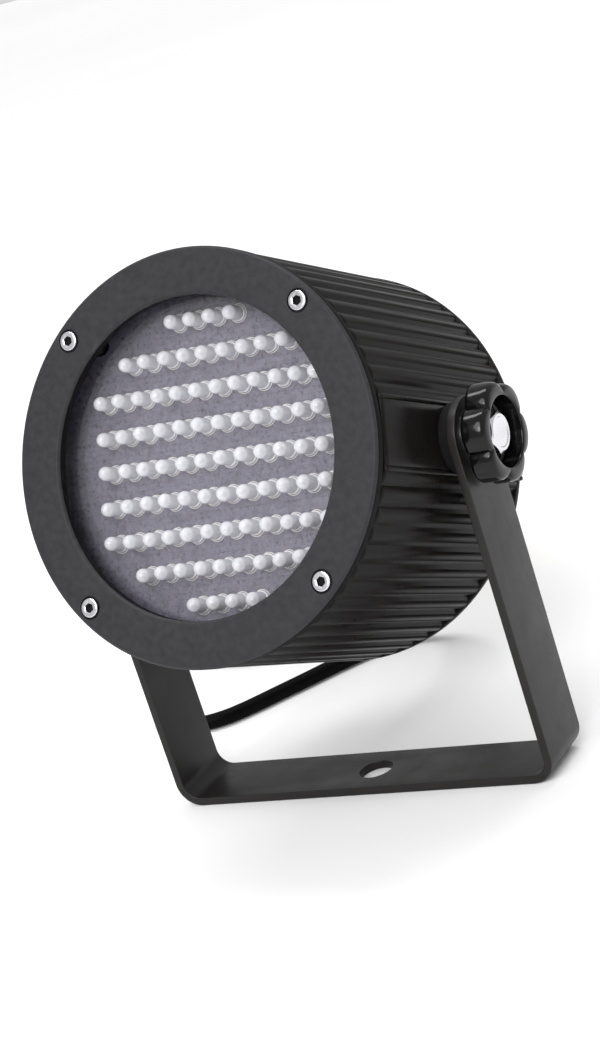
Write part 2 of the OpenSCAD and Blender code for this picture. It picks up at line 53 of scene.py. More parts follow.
# Along the can, from the ring's face back to the rear panel
FRONT_Z, RING_BACK_Z, BODY_FRONT_Z, RIM_Z, REAR_Z = 54.5, 50.0, 48.4, -46.9, -49.5
PLATE_IN_Z = REAR_Z + 2
RING_R, OPENING_R, BORE_R, SCREW_CIRCLE_R = 70.0, 54.0, 65.5, 64.3
# On the rear panel
SOCKET_X, SOCKET_Y, FUSE_Y, GLAND_Y = 30.0, -17.0, -13.0, -42.0
DISPLAY_Y, BUTTON_Y, BUTTON_PITCH = 34.0, 17.0, 14.0


def mm(x, y, z=0.0):
    return Matrix.Translation((x * MM, y * MM, z * MM))


def turn(degrees, axis):
    return Matrix.Rotation(math.radians(degrees), 4, axis)


# The can's own frame: z to the front, y up, origin on the tilt axis
CAN = mm(0, 0, PIVOT_H) @ turn(90 - NOSE_UP, "X")
WORLD = Matrix.Identity(4)
RIGHT = CAN @ turn(90, "Y")
LEFT = CAN @ turn(180, "Z") @ turn(90, "Y")


def rear(x, y, z=REAR_Z):
    """On the rear panel, with z pointing out of its back."""
    return CAN @ mm(x, y, z) @ turn(180, "Y")


# ---------------------------------------------------------------- camera

AZIMUTH, ELEVATION, ROLL = (math.radians(v) for v in (32.25, 18.918, -17.966))
CAMERA_DISTANCE = 0.919745
PHOTO_F = 674.661          # focal length in the photograph's pixels
ZOOM = 3.86                # the one light fills the frame
TARGET = Vector((0, 0, 0.0741))
AIM_OFFSET = (525.7 - 530.549, 73.8 - 91.359)   # from the target to the light's middle, pixels


def make_camera():
    back = Vector((math.sin(AZIMUTH) * math.cos(ELEVATION),
                   -math.cos(AZIMUTH) * math.cos(ELEVATION), math.sin(ELEVATION)))
    right = Vector((math.cos(AZIMUTH), math.sin(AZIMUTH), 0))
    up = back.cross(right)
    right, up = (math.cos(ROLL) * right + math.sin(ROLL) * up,
                 math.cos(ROLL) * up - math.sin(ROLL) * right)
    aim = (right * AIM_OFFSET[0] - up * AIM_OFFSET[1] - back * PHOTO_F).normalized()
    right = (right - aim * right.dot(aim)).normalized()
    up = right.cross(aim)
    data = bpy.data.cameras.new("camera")
    data.sensor_fit = "AUTO"
    data.sensor_width = 36.0
    data.lens = PHOTO_F * ZOOM / 1048 * 36.0
    data.clip_start, data.clip_end = 0.05, 20.0
    cam = bpy.data.objects.new("camera", data)
    m = Matrix((right, up, -aim)).transposed().to_4x4()
    m.translation = TARGET + back * CAMERA_DISTANCE
    cam.matrix_world = m
    bpy.context.scene.collection.objects.link(cam)
    bpy.context.scene.camera = cam


make_camera()

# ---------------------------------------------------------------- materials


def srgb(*c):
    """Linear colour from 0-255 sRGB."""
    return [((v / 255 + 0.055) / 1.055) ** 2.4 if v > 10.3 else v / 255 / 12.92 for v in c]


class Graph:
    """Short names for a material's nodes."""

    def __init__(self, name):
        self.material = bpy.data.materials.new(name)
        self.material.use_nodes = True
        self.nodes = self.material.node_tree.nodes
        self.links = self.material.node_tree.links
        self.principled = self.nodes["Principled BSDF"]
        self.output = self.nodes["Material Output"]
        self.position = self.nodes.new("ShaderNodeTexCoord").outputs["Object"]

    def node(self, kind, inputs=None, **settings):
        n = self.nodes.new("ShaderNode" + kind)
        for k, v in settings.items():
            setattr(n, k, v)
        for k, v in (inputs or {}).items():
            if isinstance(v, bpy.types.NodeSocket):
                self.links.new(v, n.inputs[k])
            else:
                n.inputs[k].default_value = v
        return n

    def stretched(self, scale, rotation=(0, 0, 0)):
        return self.node("Mapping", {"Vector": self.position, "Scale": scale,
                                     "Rotation": [math.radians(r) for r in rotation]}).outputs[0]

    def noise(self, scale, detail=3.0, vector=None, distortion=0.0):
        return self.node("TexNoise", {"Vector": vector or self.position, "Scale": scale,
                                      "Detail": detail, "Distortion": distortion}).outputs["Fac"]

    def ramp(self, fac, stops):
        n = self.node("ValToRGB", {"Fac": fac})
        while len(n.color_ramp.elements) < len(stops):
            n.color_ramp.elements.new(0.5)
        for e, (at, colour) in zip(n.color_ramp.elements, stops):
            e.position, e.color = at, (*colour[:3], 1)
        return n.outputs["Color"]

    def spread(self, fac, low, high, start=0.3, end=0.7):
        return self.node("MapRange", {"Value": fac, "From Min": start, "From Max": end,
                                      "To Min": low, "To Max": high}).outputs["Result"]

    def math(self, operation, a, b):
        return self.node("Math", {0: a, 1: b}, operation=operation).outputs[0]

    def mix(self, fac, a, b):
        n = self.node("Mix", data_type="RGBA")
        for socket, v in ((n.inputs[0], fac), (n.inputs[6], a), (n.inputs[7], b)):
            if isinstance(v, bpy.types.NodeSocket):
                self.links.new(v, socket)
            else:
                socket.default_value = (*v[:3], 1) if hasattr(v, "__len__") else v
        return n.outputs[2]

    def blend(self, fac, a, b):
        return self.node("MixShader", {0: fac, 1: a, 2: b}).outputs[0]

    def bump(self, height, distance, strength=1.0):
        n = self.node("Bump", {"Height": height, "Distance": distance, "Strength": strength})
        self.links.new(n.outputs[0], self.principled.inputs["Normal"])

    def feed(self, **sockets):
        for k, v in sockets.items():
            socket = self.principled.inputs[k.replace("_", " ")]
            if isinstance(v, bpy.types.NodeSocket):
                self.links.new(v, socket)
            else:
                socket.default_value = (*v[:3], 1) if hasattr(v, "__len__") else v


def shade(colour, share):
    """The colour made darker or paler."""
    return [min(1.0, c * share) for c in colour]


def finish_of(name, colour, rough, metal=0.0, mottle=0.12, mottle_scale=90.0, rough_spread=0.08,
              grain=0.0, grain_scale=2600.0, stretch=None, wear=0.0, **sockets):
    """A material with mottled colour, uneven gloss, surface grain and, with wear, paler edges."""
    g = Graph(name)
    where = g.stretched(stretch) if stretch else g.position
    patches = g.noise(mottle_scale, 4.0, where)
    tone = g.ramp(patches, [(0.3, shade(colour, 1 - mottle)), (0.7, shade(colour, 1 + mottle))])
    if wear:
        edge = g.spread(g.node("NewGeometry").outputs["Pointiness"], 0.0, wear, 0.52, 0.62)
        worn = g.math("MULTIPLY", edge, g.spread(g.noise(320.0, 5.0), 0.2, 1.0))
        tone = g.mix(worn, tone, shade([max(c, 0.04) for c in colour], 3.0))
    fine = g.noise(grain_scale, 2.0, where)
    uneven = g.math("ADD", g.math("MULTIPLY", patches, 0.6), g.math("MULTIPLY", fine, 0.4))
    g.feed(Base_Color=tone, Metallic=metal,
           Roughness=g.spread(uneven, max(0.02, rough - rough_spread), min(1, rough + rough_spread)))
    if grain:
        g.bump(fine, grain * MM)
    g.feed(**sockets)
    return g.material


def board_finish(name, mask, copper):
    """Lacquered board: tracks show through as straight bands, under paler and darker blotches."""
    g = Graph(name)
    bands = g.node("TexBrick", {"Vector": g.stretched((1, 1, 1), (-(90 - NOSE_UP), 0, 0)),
                                "Scale": 420.0, "Mortar Size": 0.035, "Brick Width": 2.6,
                                "Row Height": 0.85, "Color1": (1, 1, 1, 1),
                                "Color2": (0.6, 0.6, 0.6, 1), "Mortar": (0, 0, 0, 1)})
    blotch = g.noise(700.0, 4.0, distortion=0.6)
    tone = g.mix(bands.outputs["Color"], copper, mask)
    tone = g.mix(g.spread(blotch, 0.0, 0.55), tone, shade(mask, 1.7))
    tone = g.mix(g.spread(g.noise(260.0, 2.0), 0.0, 0.5, 0.5, 0.75), tone, shade(mask, 0.45))
    g.feed(Base_Color=tone, Roughness=g.spread(blotch, 0.22, 0.5))
    g.bump(bands.outputs["Fac"], 0.04 * MM, 0.6)
    return g.material


def pane(name, tint, rough, painted_whiteness=0.0):
    """Clear plastic: light passes through, the surface adds a gloss that grows towards its edge, and
    an optional white diffuse share is, on the LED domes, painted brightness for reflected light."""
    g = Graph(name)
    body = g.node("BsdfTransparent", {"Color": (*tint, 1)}).outputs[0]
    if painted_whiteness:
        painted_white_tone = g.ramp(g.noise(900.0, 3.0), [(0.3, (0.86, 0.86, 0.9)), (0.7, (1, 1, 1))])
        body = g.blend(painted_whiteness, body, g.node("BsdfDiffuse", {"Color": painted_white_tone}).outputs[0])
    smears = g.spread(g.noise(40.0, 5.0), rough * 0.6, rough * 1.8)
    gloss = g.node("BsdfGlossy", {"Color": (1, 1, 1, 1), "Roughness": smears}).outputs[0]
    facing = g.node("LayerWeight", {"Blend": 0.5}).outputs["Facing"]
    edge = g.spread(g.math("POWER", facing, 4.0), 0.04, 0.9, 0.0, 1.0)
    g.links.new(g.blend(edge, body, gloss), g.output.inputs["Surface"])
    g.nodes.remove(g.principled)
    return g.material


def brushed(name, colour, rough, direction):
    """Metal with fine scratches drawn along one direction."""
    return finish_of(name, colour, rough, metal=1.0, mottle=0.1, mottle_scale=160.0,
                     grain=0.03, grain_scale=900.0, stretch=direction)


FINISH = {
    "yoke_paint": finish_of("yoke_paint", srgb(25, 23, 22), 0.38, mottle=0.12, rough_spread=0.1,
                            grain=0.035, grain_scale=1900.0, wear=0.3, Specular_IOR_Level=0.28),
    "can_paint": finish_of("can_paint", srgb(20, 18, 17), 0.32, mottle=0.15, rough_spread=0.08,
                           grain=0.02, grain_scale=2200.0, wear=0.12, Specular_IOR_Level=0.09),
    "ring_paint": finish_of("ring_paint", srgb(43, 42, 45), 0.5, mottle=0.16, mottle_scale=420.0,
                            grain=0.06, grain_scale=1700.0, wear=0.25, Specular_IOR_Level=0.18),
    "panel_paint": finish_of("panel_paint", srgb(30, 30, 31), 0.45, grain=0.04,
                             grain_scale=1900.0, wear=0.25, Specular_IOR_Level=0.35),
    "steel": brushed("steel", srgb(214, 214, 218), 0.26, (1, 0.2, 1)),
    "dark_steel": brushed("dark_steel", srgb(70, 70, 72), 0.34, (1, 1, 0.2)),
    "brass": brushed("brass", srgb(214, 180, 106), 0.3, (1, 1, 0.25)),
    "aluminium": brushed("aluminium", srgb(196, 198, 202), 0.36, (0.15, 1, 1)),
    # Black for the ring's walls: painted shade.
    "edge_painted_shade": finish_of("edge_painted_shade", srgb(5, 5, 6), 0.55, grain=0.02,
                            Specular_IOR_Level=0.1),
    "gasket_rubber": finish_of("gasket_rubber", srgb(9, 9, 9), 0.8, grain=0.03,
                               Specular_IOR_Level=0.2),
    "cord_pvc": finish_of("cord_pvc", srgb(4, 4, 4), 0.5, mottle=0.2, mottle_scale=140.0,
                          grain=0.02, grain_scale=1500.0, Specular_IOR_Level=0.06),
    "clear_lens": pane("clear_lens", (0.97, 0.97, 0.98), 0.03),
    # The LED domes' white diffuse share is painted brightness for the light the clear LEDs reflect.
    "led_clear": pane("led_clear", (0.98, 0.98, 0.985), 0.05, 0.6),
    "board_white": board_finish("board_white", srgb(110, 107, 118), srgb(80, 77, 89)),
    "board_green": board_finish("board_green", srgb(38, 96, 52), srgb(88, 132, 70)),
    "resistor": finish_of("resistor", srgb(92, 138, 176), 0.3, mottle_scale=500.0, Coat_Weight=0.4),
    "winding": finish_of("winding", srgb(212, 178, 74), 0.4, mottle_scale=300.0,
                         stretch=(1, 1, 0.3)),
    "capacitor": finish_of("capacitor", srgb(44, 54, 84), 0.28, mottle_scale=300.0,
                           Coat_Weight=0.5),
    "copper": brushed("copper", srgb(196, 118, 66), 0.3, (1, 0.3, 1)),
    "black_plastic": finish_of("black_plastic", srgb(34, 34, 35), 0.48, grain=0.03,
                               grain_scale=1600.0),
    "knob_plastic": finish_of("knob_plastic", srgb(8, 8, 9), 0.14, mottle_scale=200.0,
                              rough_spread=0.05, grain=0.008, grain_scale=500.0,
                              Specular_IOR_Level=0.22, Coat_Weight=0.1, Coat_Roughness=0.06),
    "white_plastic": finish_of("white_plastic", srgb(226, 222, 208), 0.4, mottle=0.04),
    "grey_plastic": finish_of("grey_plastic", srgb(168, 168, 172), 0.42, mottle=0.06,
                              grain=0.02),
    "display_filter": pane("display_filter", (0.30, 0.03, 0.03), 0.06),
    "wire": finish_of("wire", srgb(128, 74, 44), 0.36, mottle_scale=300.0),
    "fuse_glass": finish_of("fuse_glass", srgb(214, 218, 214), 0.1, mottle_scale=700.0,
                            Coat_Weight=0.6, Coat_Roughness=0.03),
}

# Reflector bowls: real cups, drawn large and pale white as painted brightness.
LED_BOWL = finish_of("led_bowl", (0.97, 0.97, 0.98), 0.35, metal=0.15, mottle=0.04,
                     mottle_scale=800.0)
LED_CHIP = finish_of("led_chip", srgb(70, 68, 76), 0.4, mottle_scale=900.0)

# ---------------------------------------------------------------- shapes


def at_angle(value, a):
    """A length that may be a function of the angle a."""
    return value(a) if callable(value) else value


def rounded_rect(w, h, r, steps=5):
    """Outline of a rectangle with rounded corners, anticlockwise."""
    r = max(0.01, min(r, w / 2 - 0.01, h / 2 - 0.01))
    points = []
    for k, (sx, sy) in enumerate(((1, 1), (-1, 1), (-1, -1), (1, -1))):
        for i in range(steps + 1):
            a = TAU / 4 * (k + i / steps)
            points.append((sx * (w / 2 - r) + r * math.cos(a), sy * (h / 2 - r) + r * math.sin(a)))
    return points


def arc(cx, cz, r, start, end, steps):
    """Profile points (radius, z) on an arc, angles in degrees from the radial direction."""
    return [(cx + r * math.cos(math.radians(start + (end - start) * i / steps)),
             cz + r * math.sin(math.radians(start + (end - start) * i / steps)))
            for i in range(steps + 1)]


SHARP = 40.0               # degrees between faces that meet in a visible edge


class Shape:
    """Gathers geometry in millimetres and builds one mesh object in metres."""

    def __init__(self):
        self.verts, self.faces = [], []

    def rings(self, rings, place=WORLD, loop=False):
        """Skin over rings of points, closed by caps, or joined last to first in a loop.

        A ring of one point closes the skin to that point."""
        first = []
        for ring in rings:
            first.append(len(self.verts))
            self.verts += [place @ (Vector(p) * MM) for p in ring]
        pairs = list(zip(range(len(rings) - 1), range(1, len(rings))))
        if loop:
            pairs.append((len(rings) - 1, 0))
        for a, b in pairs:
            fa, fb, na, nb = first[a], first[b], len(rings[a]), len(rings[b])
            for i in range(max(na, nb)):
                j = (i + 1) % max(na, nb)
                corner = [fa + (i if na > 1 else 0), fa + (j if na > 1 else 0),
                          fb + (j if nb > 1 else 0), fb + (i if nb > 1 else 0)]
                self.faces.append(list(dict.fromkeys(corner)))
        if not loop:
            for start, ring, flip in ((first[0], rings[0], True), (first[-1], rings[-1], False)):
                if len(ring) > 1:
                    self.cap(start, ring, place, flip)
        return self

    def cap(self, start, ring, place, flip):
        """Triangles from a ring, whose first vertex is start, to its middle."""
        middle = len(self.verts)
        centre = sum((Vector(p) for p in ring), Vector()) / len(ring)
        self.verts.append(place @ (centre * MM))
        for i in range(len(ring)):
            face = [start + i, start + (i + 1) % len(ring), middle]
            self.faces.append(face[::-1] if flip else face)

    def turned(self, sections, place, n, loop=False):
        """Rings about z from (radius, z) sections. Both may depend on the angle."""
        rings = []
        for r, z in sections:
            if not callable(r) and r <= 0:
                rings.append([(0, 0, at_angle(z, 0))])
            else:
                rings.append([(at_angle(r, a) * math.cos(a), at_angle(r, a) * math.sin(a),
                               at_angle(z, a)) for a in (TAU * i / n for i in range(n))])
        return self.rings(rings, place, loop)

    def slab(self, w, h, z0, z1, place, r, edge):
        """Rounded rectangle of thickness z0 to z1 with its edges softened."""
        soft = [(edge, z0), (edge * 0.3, z0 + edge * 0.3), (0, z0 + edge),
                (0, z1 - edge), (edge * 0.3, z1 - edge * 0.3), (edge, z1)]
        return self.rings([[(x, y, z) for x, y in
                            rounded_rect(w - 2 * inset, h - 2 * inset, r - inset * 0.5)]
                           for inset, z in soft], place)

    def tube(self, path, radius):
        """Round tube along a path."""
        sides = 16
        points = [Vector(p) for p in path]
        rings, side = [], None
        for i, p in enumerate(points):
            t = (points[min(i + 1, len(points) - 1)] - points[max(i - 1, 0)]).normalized()
            if side is None:
                side = t.cross(Vector((0, 0, 1)))
                if side.length < 0.1:
                    side = t.cross(Vector((1, 0, 0)))
            side = (side - t * side.dot(t)).normalized()
            up = t.cross(side)
            rings.append([p + radius * (math.cos(a) * side + math.sin(a) * up)
                          for a in (TAU * k / sides for k in range(sides))])
        return self.rings(rings)

    def build(self, name, slot, body=None, replaces=(), sharp=SHARP, material=None):
        """The mesh piece; a material stands in for the slot's own finish."""
        mesh = bpy.data.meshes.new(name)
        mesh.from_pydata([tuple(v) for v in self.verts], [], self.faces)
        bm = bmesh.new()
        bm.from_mesh(mesh)
        bmesh.ops.remove_doubles(bm, verts=bm.verts, dist=1e-7)
        bmesh.ops.dissolve_degenerate(bm, dist=1e-7, edges=bm.edges)
        bmesh.ops.recalc_face_normals(bm, faces=bm.faces)
        bm.to_mesh(mesh)
        bm.free()
        return place_piece(mesh, name, slot, body, replaces, sharp, material)


def place_piece(mesh, name, slot, body, replaces, sharp, material=None):
    mesh.materials.clear()
    mesh.materials.append(material or FINISH[slot])
    for p in mesh.polygons:
        p.use_smooth = True
        p.material_index = 0
    mesh.set_sharp_from_angle(angle=math.radians(sharp))
    obj = bpy.data.objects.new(name, mesh)
    bpy.context.scene.collection.objects.link(obj)
    if body:
        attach(obj, body)
    if replaces:
        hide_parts(*replaces)
    return obj


def edged(node, width, slot, body="can", name=None, segments=2, angle=38.0):
    """A copy of a CAD node with every sharp edge rounded, which stands for it."""
    mesh = NODES[node].data.copy()
    bm = bmesh.new()
    bm.from_mesh(mesh)
    bmesh.ops.remove_doubles(bm, verts=bm.verts, dist=1e-6)
    bmesh.ops.dissolve_limit(bm, angle_limit=math.radians(0.6), verts=bm.verts, edges=bm.edges)
    edges = [e for e in bm.edges
             if len(e.link_faces) == 2 and e.calc_face_angle(0) > math.radians(angle)]
    bmesh.ops.bevel(bm, geom=edges, offset=width * MM, segments=segments, profile=0.6,
                    affect="EDGES", clamp_overlap=True)
    bmesh.ops.triangulate(bm, faces=[f for f in bm.faces if len(f.verts) > 4])
    bmesh.ops.recalc_face_normals(bm, faces=bm.faces)
    bm.to_mesh(mesh)
    bm.free()
    return place_piece(mesh, name or node + "_shaped", slot, body, [node], SHARP)


def hexagon(af):
    """Radius of a hexagon at an angle, given its width over the flats."""
    return lambda a: af / 2 / math.cos((a + TAU / 12) % (TAU / 6) - TAU / 12)


# ---------------------------------------------------------------- mains lead

LEAD_D = 6.0
COIL_X, COIL_Y, COIL_R = -115.0, 150.0, 33.0
COIL_TURNS, STRANDS = 4.25, 5
STRAND_R = LEAD_D / (2 * math.sin(math.pi / STRANDS))
COIL_MID_Z = 0.8 + LEAD_D / 2 + STRAND_R     # the tie's strap lies under the turns
RELIEF_OUT_Z = -86.0
LEAD_EXIT = CAN @ mm(0, GLAND_Y, RELIEF_OUT_Z)
LEAD_STRAIGHT = CAN @ mm(0, GLAND_Y, RELIEF_OUT_Z - 16)   # end of the straight first stretch
LEAD_ROUTE = [
    (-2, 88, 35), (-6, 100, 28), (-12.5, 110.5, 20.5), (-21.5, 117.5, 13.5), (-32.5, 119.5, 8),
    (-43.5, 115.5, 4.6), (-54, 106.3, 3), (-63.5, 94.7, 3), (-71.8, 83, 3), (-79.8, 72, 3),
    (-87.4, 61.8, 3), (-94, 55, 3), (-102, 50.9, 3), (-110.5, 49.8, 3), (-118.9, 51.8, 3),
    (-125.9, 56.8, 3), (-130.9, 64, 3), (-136, 73.8, 3), (-141.2, 86.6, 3), (-146, 101, 3),
    (-149.6, 117, 3.1), (-150.7, 126, 3.4), (-151, 136, 4.1)]
PLUG = (-88.0, 190.0, 11.0)


def smooth_route(points, steps):
    """A smooth curve through the points."""
    p = [Vector(q) for q in points]
    out = []
    for i in range(len(p) - 1):
        a, b, c, d = p[max(i - 1, 0)], p[i], p[i + 1], p[min(i + 2, len(p) - 1)]
        for k in range(steps):
            t = k / steps
            out.append(0.5 * (2 * b + (c - a) * t + (2 * a - 5 * b + 4 * c - d) * t * t
                              + (3 * b - a - 3 * c + d) * t ** 3))
    return out + [p[-1]]


def coil_points():
    """Turns that lie against each other, clockwise seen from above, in at 180 degrees."""
    out = []
    per_turn = 36
    for i in range(int(COIL_TURNS * per_turn) + 1):
        turns = i / per_turn
        a = math.pi - TAU * turns
        lay = math.radians(-54) - TAU * turns / STRANDS
        r = COIL_R + STRAND_R * math.cos(lay)
        out.append(Vector((COIL_X + r * math.cos(a), COIL_Y + r * math.sin(a),
                           COIL_MID_Z + STRAND_R * math.sin(lay))))
    return out


def lead_path():
    """The lead's centre line: finely divided up to its fourth point."""
    fine, coarse = 12, 4
    free = [p.translation / MM for p in (LEAD_EXIT, LEAD_STRAIGHT)]
    free += [Vector(p) for p in LEAD_ROUTE]
    coil = coil_points()
    path = smooth_route(free[:5], fine)[:-fine - 1]
    path += smooth_route(free[2:] + [coil[0]], coarse)[coarse:-1] + coil
    path += smooth_route([coil[-1], (-106, 188.3, 9.0), (-98, 189.2, 9.9), PLUG], coarse)[1:]
    lowest = LEAD_D / 2 + 0.02
    return [Vector((p.x, p.y, max(p.z, lowest))) for p in path]


def make_lead():
    """The lead with its tie, and the plug with its pins."""
    path = lead_path()
    lead = Shape().tube(path, LEAD_D / 2).build("mains_lead", "cord_pvc")
    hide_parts("power_cord", "cord_coil")
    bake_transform(lead)

    tie_at = mm(COIL_X, COIL_Y) @ turn(-40, "Z") @ mm(COIL_R, 0, COIL_MID_Z) @ turn(90, "X")
    inner = STRAND_R + LEAD_D / 2 + 0.3
    tie = Shape().turned([(inner, -4), (inner + 0.4, -4.1), (inner + 0.5, -3.7),
                          (inner + 0.5, 3.7), (inner + 0.4, 4.1), (inner, 4)],
                         tie_at, n=40, loop=True)
    tie.slab(7.6, 11, 0, 1.1, tie_at @ turn(90, "Y") @ turn(90, "Z")
             @ mm(0, 0, inner + 0.3), r=1.2, edge=0.3)
    tie = tie.build("lead_tie", "cord_pvc", "yoke", ["cord_tie"], material=FINISH["black_plastic"])

    at_plug = mm(*PLUG) @ turn(90, "Y")
    plug = Shape()
    plug.turned(relief_profile(0, 16, 3.9, 6.2, 5), at_plug, n=48)
    # Distance along the plug, width, height and corner radius
    body = [(15.5, 12, 13, 4), (16.5, 15, 16, 5), (19, 19, 21, 6), (23, 21.4, 23.4, 7),
            (33, 21.8, 23.8, 7), (46, 22, 24, 6.5), (49, 21.8, 23.8, 6.5), (50, 20.6, 22.6, 6)]
    plug.rings([[(x, y, z) for x, y in rounded_rect(w, h, r, 7)] for z, w, h, r in body], at_plug)
    for side in (-1, 1):
        for k in range(5):
            plug.slab(1.3, 12, -0.5, 0.6, at_plug @ mm(side * 10.35, 0, 27 + 3.2 * k)
                      @ turn(side * 90, "Y"), r=0.6, edge=0.3)
    plug = plug.build("plug_shaped", "cord_pvc", "yoke", ["mains_plug"],
                      material=FINISH["black_plastic"])
    pins = edged("plug_pins", 0.35, "brass", "yoke")


def relief_profile(z0, z1, r0, r1, grooves):
    """Tapered strain relief with grooves around it, as (radius, z) sections."""
    out = [(r0 - 0.5, z0), (r0, z0 + 0.4)]
    step = (z1 - z0 - 2) / grooves
    for k in range(grooves):
        z = z0 + 1 + k * step
        r = r0 + (r1 - r0) * (z - z0) / (z1 - z0)
        out += [(r, z), (r + 0.15, z + step * 0.5), (r + 0.1, z + step * 0.58),
                (r - 0.7, z + step * 0.66), (r - 0.7, z + step * 0.9), (r + 0.1, z + step * 0.97)]
    return out + [(r1, z1 - 0.6), (r1, z1)]


make_lead()

# ---------------------------------------------------------------- yoke


def make_yoke():
    """The bent strap, and the washers between its arms and the knobs."""
    edged("yoke_bracket", 0.45, "yoke_paint", "yoke", "yoke_strap", segments=3)
    edged("arm_washers", 0.25, "steel", "yoke")


make_yoke()

# ---------------------------------------------------------------- can

CAN_R, RIBS, RIB_DEPTH, RIB_STEPS = 69.7, 64, 1.3, 12
BAND_X, BAND_HALF = 69.9, 12.5


def rib_radius(a):
    """Round-backed ribs with a narrow groove between two."""
    hollow = 1 - abs(math.cos(RIBS * a / 2))
    return CAN_R - RIB_DEPTH * hollow ** 1.15


def body_outline(inset=0.0, ribbed=True):
    """The can's outer section: ribs or a smooth rim all round, and a flat band on each side."""
    points = []
    foot = math.asin(BAND_HALF / (CAN_R - 0.5))
    for side in (0, math.pi):
        ys = [-BAND_HALF, -BAND_HALF + 0.35, -BAND_HALF + 1.2, -BAND_HALF + 1.6, -BAND_HALF + 2.0]
        ys = ys + [-8 + i for i in range(17)] + [-y for y in reversed(ys)]
        for y in ys:
            groove = 0.45 if abs(abs(y) - (BAND_HALF - 1.6)) < 0.01 else 0.0
            soft = 0.35 if abs(y) == BAND_HALF else 0.0
            x = BAND_X - groove - soft - inset
            points.append((x * math.cos(side) - y * math.sin(side),
                           x * math.sin(side) + y * math.cos(side)))
        count = int(RIBS * RIB_STEPS * (math.pi - 2 * foot) / TAU)
        for i in range(count + 1):
            a = side + foot + (math.pi - 2 * foot) * i / count
            r = (rib_radius(a) if ribbed else CAN_R + 0.1) - inset
            points.append((r * math.cos(a), r * math.sin(a)))
    return points


def bore_radius(a):
    """The can's bore, with a round channel standing in from it at each ring screw."""
    channel = 3.5
    off = a % (TAU / 4) - TAU / 8
    side = SCREW_CIRCLE_R * math.sin(off)
    if abs(side) >= channel:
        return BORE_R
    return min(BORE_R, SCREW_CIRCLE_R * math.cos(off) - math.sqrt(channel ** 2 - side ** 2))


def tuck_walls(mesh):
    """Draws the back of the ring's two walls in, to leave room for the black bands of painted shade
    over them.
    """
    for vertex in mesh.vertices:
        at = CAN.inverted() @ vertex.co / MM
        r = math.hypot(at.x, at.y)
        for wall, side in ((RING_R, -1), (OPENING_R, 1)):
            if abs(r - wall) < 0.6 and at.z < RING_BACK_Z + 1:
                share = (r + side * 0.45) / r
                vertex.co = CAN @ (Vector((at.x * share, at.y * share, at.z)) * MM)


def make_shell():
    """The can's ribbed wall: outer rings from back to front, then the bore from front to back."""
    rings = []
    outline = [(0.55, REAR_Z, False), (0.16, REAR_Z + 0.16, False), (0.0, REAR_Z + 0.6, False),
               (0.0, RIM_Z - 0.3, False), (0.15, RIM_Z, False), (0.0, RIM_Z + 0.15, True),
               (0.0, BODY_FRONT_Z - 1.5, True), (0.25, BODY_FRONT_Z - 0.6, True),
               (0.7, BODY_FRONT_Z - 0.12, True), (1.0, BODY_FRONT_Z, True)]
    for inset, z, ribbed in outline:
        rings.append([(x, y, z) for x, y in body_outline(inset, ribbed=ribbed)])
    angles = [math.atan2(y, x) for x, y in body_outline()]
    for r, z in ((BORE_R + 0.3, BODY_FRONT_Z), (BORE_R, BODY_FRONT_Z - 0.3),
                 (BORE_R, BODY_FRONT_Z - 2.2), (bore_radius, BODY_FRONT_Z - 2.2),
                 (bore_radius, PLATE_IN_Z), (67.0, PLATE_IN_Z), (67.0, REAR_Z + 0.2),
                 (67.2, REAR_Z)):
        rings.append([(at_angle(r, a) * math.cos(a), at_angle(r, a) * math.sin(a), z)
                      for a in angles])
    shell = Shape().rings(rings, CAN, loop=True)
    shell.build("can_shell", "can_paint", "can", ["can_body"], sharp=50.0)


def make_front():
    """The ring with black bands of painted shade over its two walls, the gasket behind it and the
    lens.
    """
    ring = edged("front_ring", 0.5, "ring_paint", name="ring_shaped", segments=3, angle=30.0)
    tuck_walls(ring.data)
    ring.data.set_sharp_from_angle(angle=math.radians(SHARP))
    # Black bands over the ring's outer and inner walls: painted shade where the walls face away from
    # the light.
    edges = Shape()
    for r, side in ((RING_R, 1), (OPENING_R, -1)):
        edges.turned([(r - side * depth, z) for depth, z in
                      ((0.9, RING_BACK_Z + 0.02), (0.25, RING_BACK_Z + 0.05),
                       (0.02, RING_BACK_Z + 0.3), (0.02, FRONT_Z - 1.3),
                       (0.1, FRONT_Z - 1.15), (0.9, FRONT_Z - 1.15))],
                     CAN, n=180, loop=True)
    edges.build("ring_edges_painted_shade", "gasket_rubber", "can", material=FINISH["edge_painted_shade"])
    gasket = Shape().turned([(55.6, BODY_FRONT_Z + 0.05), (55.4, BODY_FRONT_Z + 0.6),
                             (55.6, RING_BACK_Z - 0.05), (66.8, RING_BACK_Z - 0.05),
                             (67.0, BODY_FRONT_Z + 0.6), (66.8, BODY_FRONT_Z + 0.05)],
                            CAN, n=160, loop=True)
    gasket.build("gasket_shaped", "gasket_rubber", "can", ["front_gasket"])
    glass = Shape().turned([(0, BODY_FRONT_Z - 2.2), (61.2, BODY_FRONT_Z - 2.2),
                            (61.5, BODY_FRONT_Z - 1.9), (61.5, BODY_FRONT_Z - 0.3),
                            (61.2, BODY_FRONT_Z), (0, BODY_FRONT_Z)], CAN, n=160)
    glass.build("lens_pane", "clear_lens", "can", ["lens"])


make_shell()
make_front()


def socket_screw(shape, place, head_d, head_h, af, shank_d, shank):
    """Socket-head screw: z = 0 is under the head, which points to +z."""
    r, hex_r, round_r = head_d / 2, hexagon(af), 0.45
    edge = arc(r - round_r, head_h - round_r - 0.105, round_r, 0, 80, 4)
    shape.turned([(0, -shank), (shank_d / 2 - 0.4, -shank), (shank_d / 2, -shank + 0.5),
                  (shank_d / 2, 0), (r - 0.15, 0), (r, 0.15)] + edge
                 + [(lambda a: hex_r(a) + 0.28, head_h), (lambda a: hex_r(a) + 0.05, head_h - 0.12),
                    (hex_r, head_h - 0.35), (hex_r, 0.6), (0, 0.5)], place, n=48)


